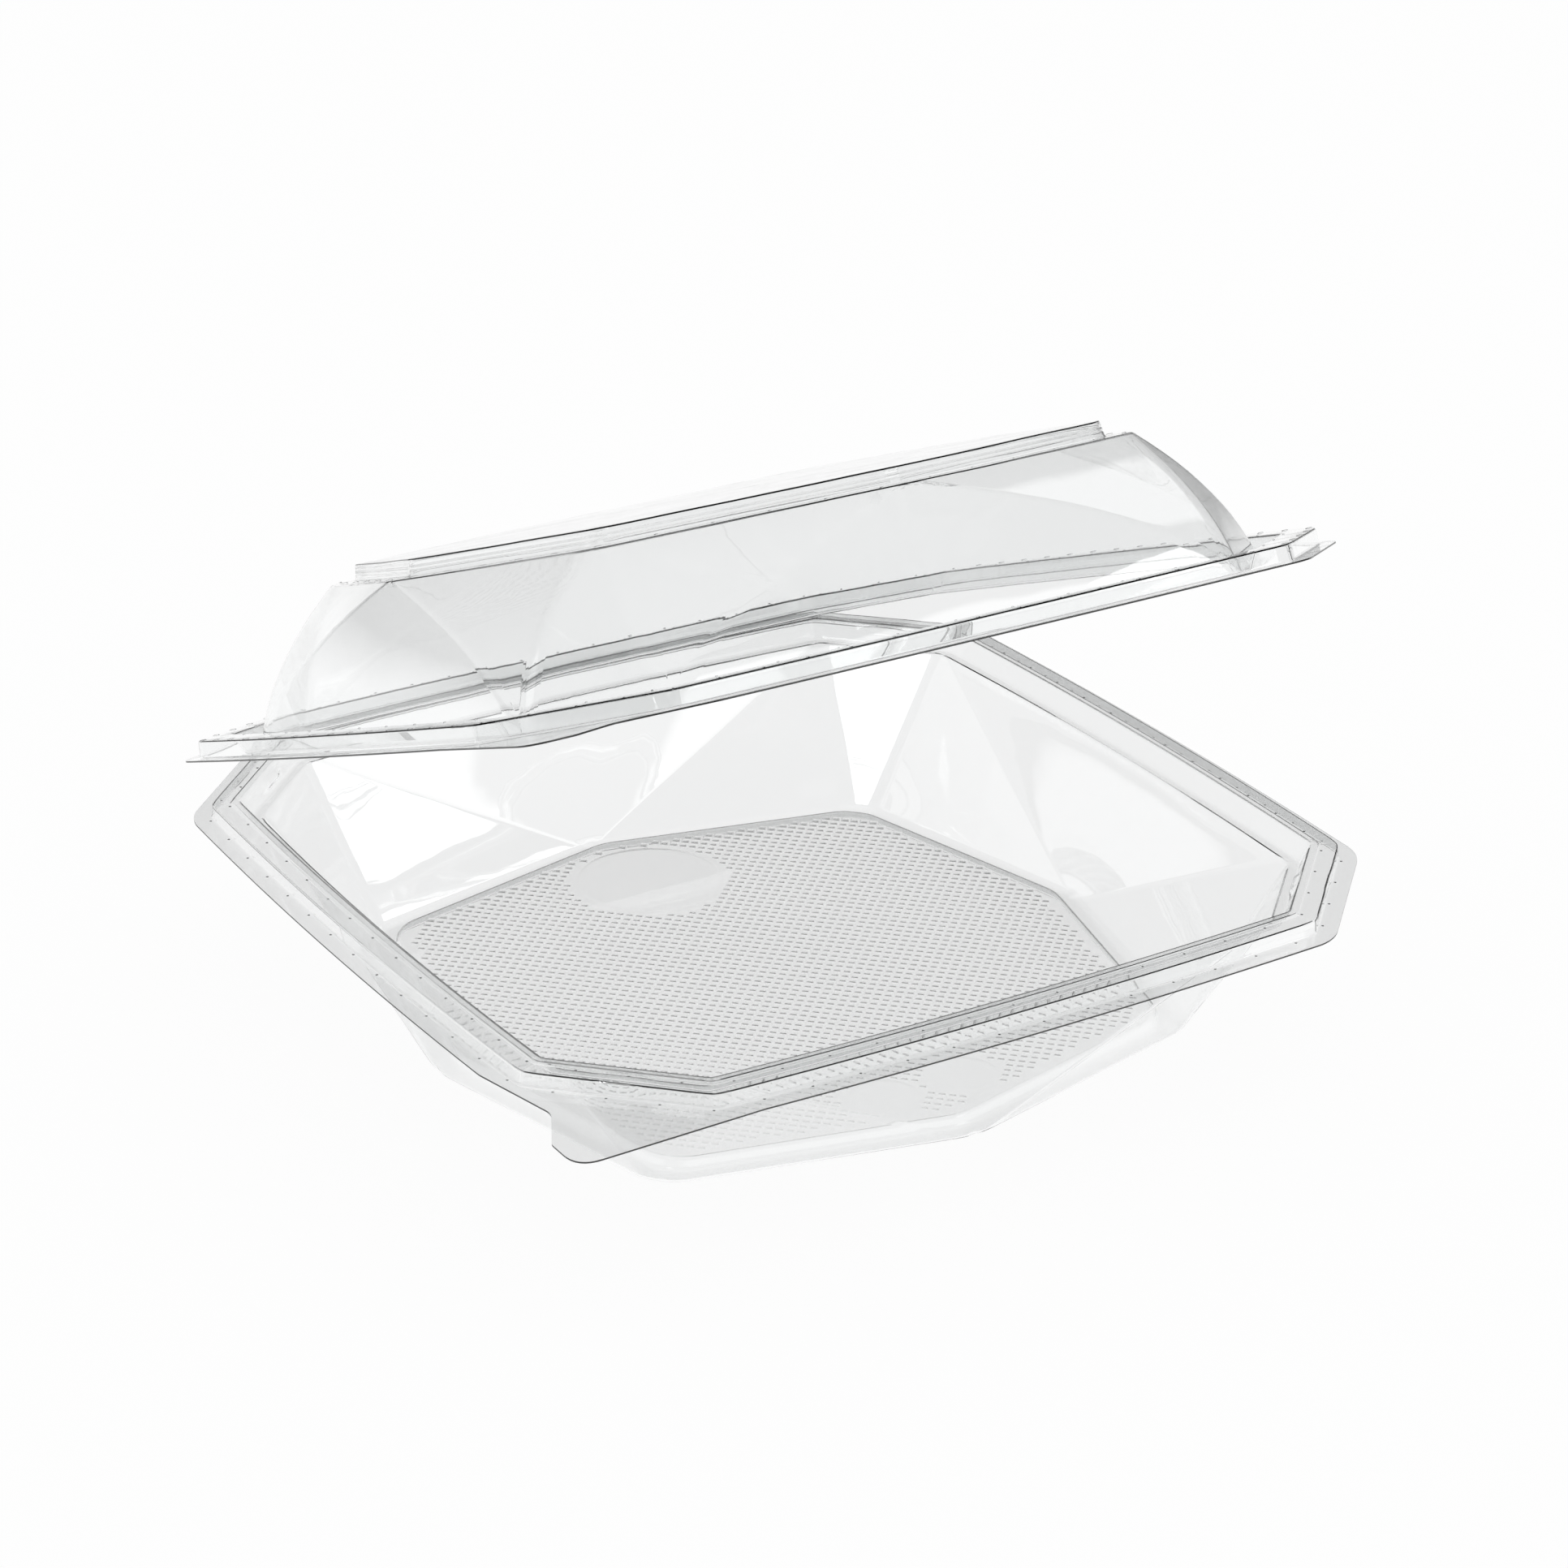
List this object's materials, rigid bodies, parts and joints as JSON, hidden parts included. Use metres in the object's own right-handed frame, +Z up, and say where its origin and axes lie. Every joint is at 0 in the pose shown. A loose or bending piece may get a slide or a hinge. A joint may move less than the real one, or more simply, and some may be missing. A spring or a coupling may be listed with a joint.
{
  "type": "hinged food pack",
  "caption": "Clear thermoformed octagonal food pack with a faceted tray, a domed lid on a living hinge, a stepped snap rim and finger tabs.",
  "frame": {"origin": "middle of the foot, on the surface that the tray stands on", "axes": "+X along the hinge, +Y towards the hinge, +Z up"},
  "size_m": [0.2384, 0.2392, 0.1529],
  "materials": {
    "clear_sheet": "clear, colourless thermoformed sheet with a high gloss"
  },
  "bodies": {
    "tray": {"tray": "clear_sheet"},
    "lid": {"lid": "clear_sheet"}
  },
  "joints": [
    {"name": "lid_hinge", "type": "hinge", "parent": "tray", "child": "lid", "pos_m": [0, 0.11995, 0.0401], "axis": [-1, 0, 0], "range_deg": [-22, 158]}
  ]
}
